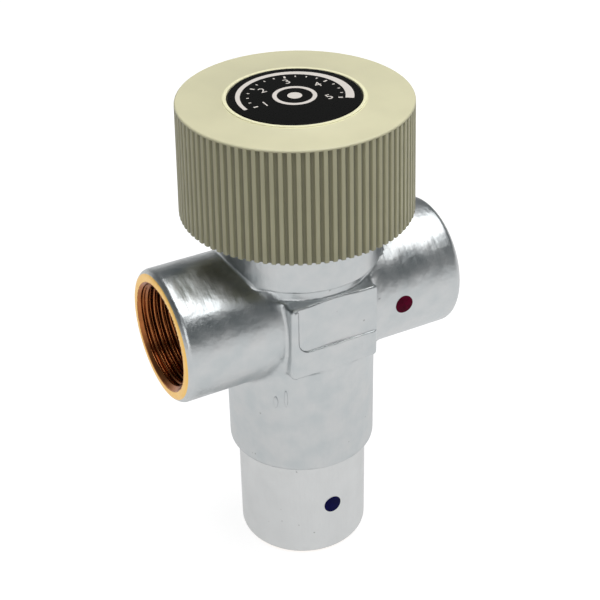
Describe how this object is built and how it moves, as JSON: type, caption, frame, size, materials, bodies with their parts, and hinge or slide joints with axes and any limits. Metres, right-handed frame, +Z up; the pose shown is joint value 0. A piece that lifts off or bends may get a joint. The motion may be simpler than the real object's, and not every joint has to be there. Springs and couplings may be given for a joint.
{
  "type": "mixing valve",
  "caption": "Thermostatic mixing valve: plated brass body with threaded hot, mixed and cold ports, and a ribbed hand knob with a scale that sets the temperature.",
  "frame": {"origin": "centre of the cold inlet's mouth, at the bottom of the valve", "axes": "+Z up along the spindle to the knob, +X out of the hot inlet, -Y is the front with the colour spots"},
  "size_m": [0.0748, 0.056, 0.124],
  "materials": {
    "plated_brass": "satin nickel plate on cast brass, bare brass at the machined port faces and threads",
    "bare_brass": "turned",
    "copper": "drawn",
    "cage_plastic": "moulded",
    "seal_rubber": "smooth",
    "stainless_steel": "bright",
    "knob_plastic": "satin moulded",
    "dial_plastic": "printed scale under a clear gloss",
    "red_enamel": "gloss",
    "blue_enamel": "gloss"
  },
  "bodies": {
    "valve": {"valve_body": "plated_brass", "hot_mark": "red_enamel", "cold_mark": "blue_enamel", "hot_seat": "bare_brass", "seat_cage": "cage_plastic", "return_spring": "stainless_steel", "bonnet": "bare_brass", "bonnet_o_ring": "seal_rubber", "stop_ring": "cage_plastic"},
    "knob_assembly": {"knob": "knob_plastic", "dial_insert": "dial_plastic", "knob_screw": "stainless_steel", "knob_washer": "stainless_steel", "spindle": "bare_brass", "spindle_circlip": "stainless_steel", "spindle_o_ring_lower": "seal_rubber", "spindle_o_ring_upper": "seal_rubber"},
    "nut_assembly": {"adjusting_nut": "bare_brass", "plunger_ring": "stainless_steel", "overtravel_spring": "stainless_steel"},
    "plunger_assembly": {"plunger": "bare_brass", "element_pin": "stainless_steel"},
    "shuttle_assembly": {"shuttle": "bare_brass", "shuttle_o_ring": "seal_rubber", "wax_element": "copper"}
  },
  "joints": [
    {"name": "knob_turn", "type": "hinge", "parent": "valve", "child": "knob_assembly", "pos_m": [0, 0, 0.105], "axis": [0, 0, 1], "range_deg": [-150, 150]},
    {"name": "nut_travel", "type": "slide", "parent": "valve", "child": "nut_assembly", "axis": [0, 0, 1], "range_m": [-0.00126, 0.00126]},
    {"name": "overtravel", "type": "slide", "parent": "nut_assembly", "child": "plunger_assembly", "axis": [0, 0, 1], "range_m": [0, 0.002], "stiffness_N_per_m": 8000, "springref_m": -0.0012, "deforming": ["overtravel_spring"]},
    {"name": "shuttle_slide", "type": "slide", "parent": "valve", "child": "shuttle_assembly", "axis": [0, 0, 1], "range_m": [-0.0024, 0], "stiffness_N_per_m": 3000, "springref_m": 0.004, "deforming": ["return_spring"]}
  ],
  "couplings": [
    {"joint": "nut_travel", "follows": "knob_turn", "m_per_rad": -0.00047746}
  ]
}
